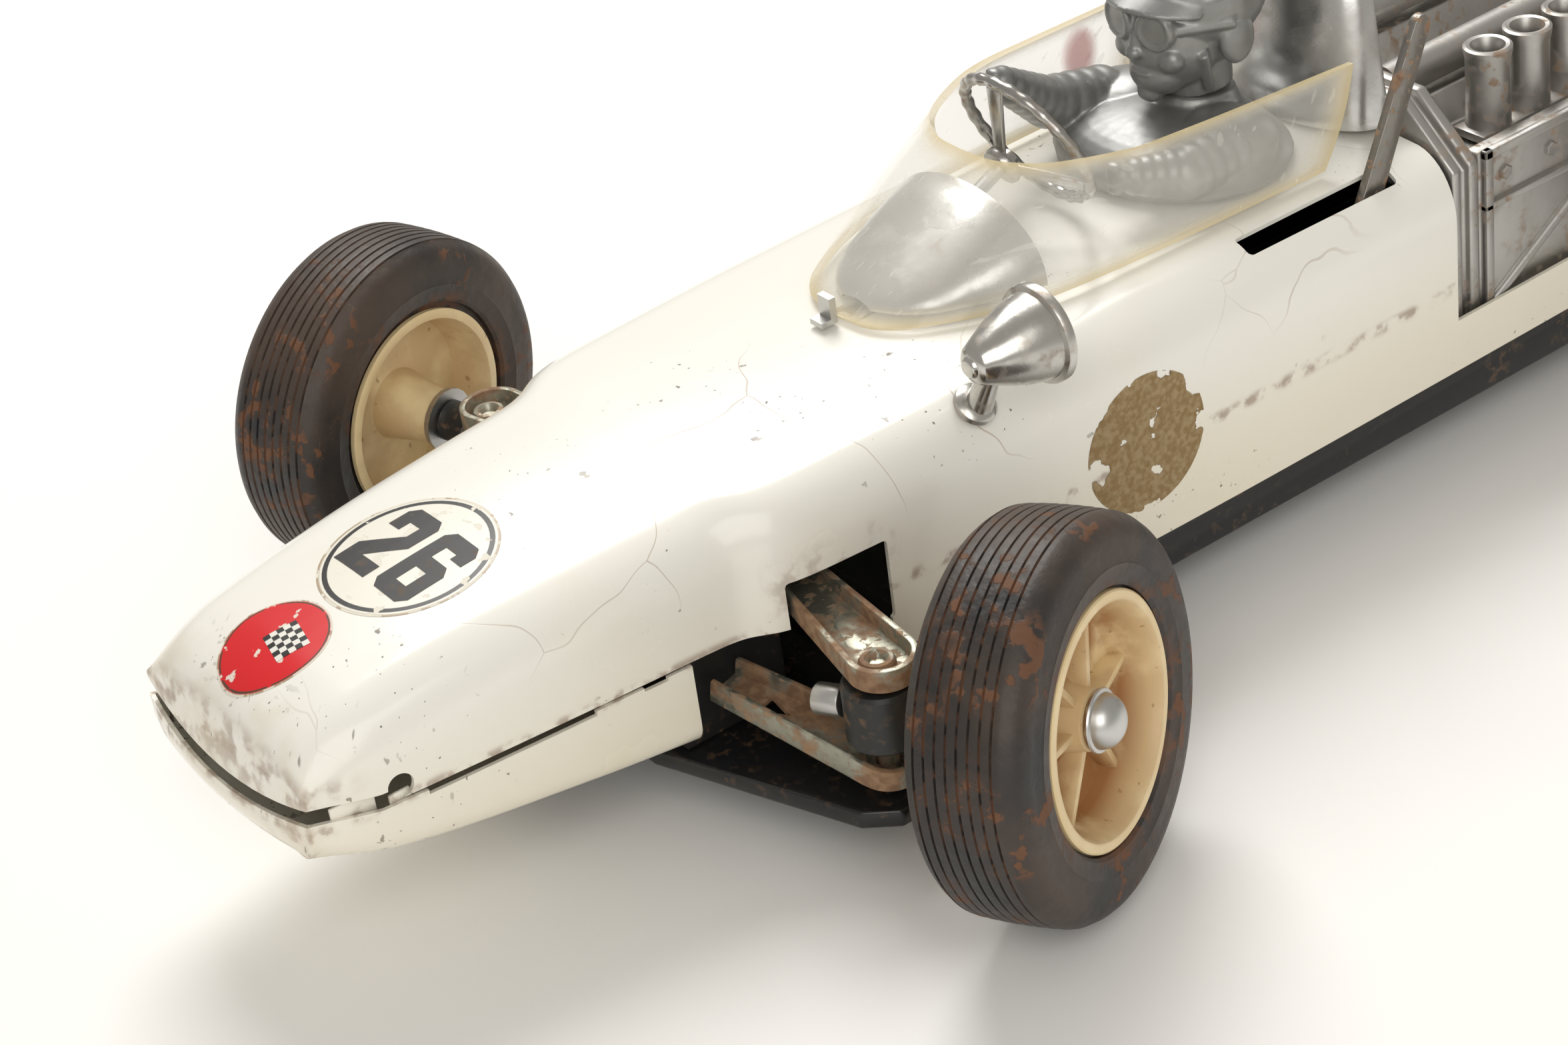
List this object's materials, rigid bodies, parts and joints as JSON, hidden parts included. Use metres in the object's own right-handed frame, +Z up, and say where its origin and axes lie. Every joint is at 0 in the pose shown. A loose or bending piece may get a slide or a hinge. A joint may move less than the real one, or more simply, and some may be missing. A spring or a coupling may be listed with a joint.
{
  "type": "friction tin race car",
  "caption": "Toy single-seat race car in pressed tin with driver, clear wrap-round screen, steered front wheels, plated rear engine with trumpets, side lever and friction flywheel motor.",
  "frame": {"origin": "centre of the bounding box in plan, on the ground under the tyres", "axes": "+Z up, nose towards -Y, the car's left side towards +X"},
  "size_m": [0.142, 0.2778, 0.0717],
  "materials": {
    "cream_enamel": "aged gloss enamel on tinplate, scratched and rusty at the seams",
    "black_pan": "gloss black enamel on tinplate",
    "black_fittings": "satin black",
    "tyre": "dusty rubber",
    "ivory_wheel": "satin, stained brown in the corners",
    "zinc_plate": "zinc plate with rust",
    "rusty_lever": "rusty steel",
    "pressed_steel": "dull pressed steel",
    "silver_figure": "silver paint on plastic",
    "clear_screen": "clear, yellowed at the edges",
    "mirror_face": "polished",
    "gear_brass": "satin",
    "flywheel_iron": "turned",
    "bright_steel": "bright",
    "plated_plastic": "worn vacuum plating with brown dust in the recesses"
  },
  "bodies": {
    "body": {"chassis_pan": "black_pan", "dash_cowl": "plated_plastic", "driver_head": "silver_figure", "driver_torso": "silver_figure", "engine_block": "plated_plastic", "engine_front_frame": "plated_plastic", "exhaust_pipe_left": "plated_plastic", "exhaust_pipe_right": "plated_plastic", "gearbox_cover": "plated_plastic", "headrest_fairing": "plated_plastic", "intake_bank_left": "plated_plastic", "intake_bank_right": "plated_plastic", "kingpin_left": "bright_steel", "kingpin_right": "bright_steel", "lever_bracket": "pressed_steel", "lower_arm_left": "zinc_plate", "lower_arm_right": "zinc_plate", "mirror_glass": "mirror_face", "mirror_housing": "plated_plastic", "motor_frame": "pressed_steel", "nose_pan": "cream_enamel", "rear_axle_tube_left": "plated_plastic", "rear_axle_tube_right": "plated_plastic", "suspension_block": "black_fittings", "upper_arm_left": "zinc_plate", "upper_arm_right": "zinc_plate", "upper_body_shell": "cream_enamel", "windscreen": "clear_screen", "windscreen_clip": "bright_steel"},
    "steer_left_knuckle": {"knuckle_left": "black_fittings", "stub_axle_left": "bright_steel", "knuckle_bush_left": "bright_steel"},
    "steer_right_knuckle": {"knuckle_right": "black_fittings", "stub_axle_right": "bright_steel", "knuckle_bush_right": "bright_steel"},
    "front_wheel_left": {"front_tyre_left": "tyre", "front_hub_left": "ivory_wheel", "front_cap_left": "bright_steel", "front_washer_left": "bright_steel"},
    "front_wheel_right": {"front_tyre_right": "tyre", "front_hub_right": "ivory_wheel", "front_cap_right": "bright_steel", "front_washer_right": "bright_steel"},
    "tie_rod": {"tie_rod": "zinc_plate"},
    "steering_wheel_and_column": {"steering_wheel": "plated_plastic", "steering_column": "bright_steel"},
    "rear_axle_set": {"rear_axle": "bright_steel", "axle_gear": "gear_brass", "rear_hub_left": "ivory_wheel", "rear_hub_right": "ivory_wheel", "rear_tyre_left": "tyre", "rear_tyre_right": "tyre", "rear_cap_left": "bright_steel", "rear_cap_right": "bright_steel"},
    "idler": {"idler_gear": "gear_brass"},
    "flywheel": {"flywheel": "flywheel_iron"},
    "drive_lever": {"drive_lever": "rusty_lever"}
  },
  "joints": [
    {"name": "steer_left", "type": "hinge", "parent": "body", "child": "steer_left_knuckle", "pos_m": [0.038, -0.0784, 0], "axis": [0, 0, 1], "range_deg": [-41.3, 0]},
    {"name": "steer_right", "type": "hinge", "parent": "body", "child": "steer_right_knuckle", "pos_m": [-0.038, -0.0784, 0], "axis": [0, 0, 1], "range_deg": [-41.3, 0]},
    {"name": "tie_rod_slide", "type": "slide", "parent": "body", "child": "tie_rod", "axis": [1, 0, 0], "range_m": [0, 0.0058]},
    {"name": "steering_wheel_turn", "type": "hinge", "parent": "body", "child": "steering_wheel_and_column", "pos_m": [0, -0.0218, 0.0532], "axis": [0, 0.9063, 0.4226], "range_deg": [-34, 0]},
    {"name": "front_left_spin", "type": "hinge", "parent": "steer_left_knuckle", "child": "front_wheel_left", "pos_m": [0.05475, -0.06861, 0.02243], "axis": [0.9059, 0.4109, 0.1028], "continuous": true},
    {"name": "front_right_spin", "type": "hinge", "parent": "steer_right_knuckle", "child": "front_wheel_right", "pos_m": [-0.05705, -0.0821, 0.02216], "axis": [-0.9563, -0.2905, 0.0332], "continuous": true},
    {"name": "rear_axle_spin", "type": "hinge", "parent": "body", "child": "rear_axle_set", "pos_m": [0, 0.0896, 0.025], "axis": [1, 0, 0], "continuous": true},
    {"name": "idler_spin", "type": "hinge", "parent": "body", "child": "idler", "pos_m": [0, 0.07372, 0.01953], "axis": [1, 0, 0], "continuous": true},
    {"name": "flywheel_spin", "type": "hinge", "parent": "body", "child": "flywheel", "pos_m": [0, 0.0591, 0.02107], "axis": [1, 0, 0], "continuous": true},
    {"name": "drive_lever_swing", "type": "hinge", "parent": "body", "child": "drive_lever", "pos_m": [0.022, 0.0026, 0.02], "axis": [1, 0, 0], "range_deg": [0, 44]}
  ],
  "couplings": [
    {"joint": "steer_right", "follows": "steer_left", "ratio": 1},
    {"joint": "tie_rod_slide", "follows": "steer_left", "m_per_rad": -0.008},
    {"joint": "steering_wheel_turn", "follows": "steer_left", "ratio": 0.8193},
    {"joint": "idler_spin", "follows": "rear_axle_spin", "ratio": -3},
    {"joint": "flywheel_spin", "follows": "rear_axle_spin", "ratio": 7.5}
  ]
}
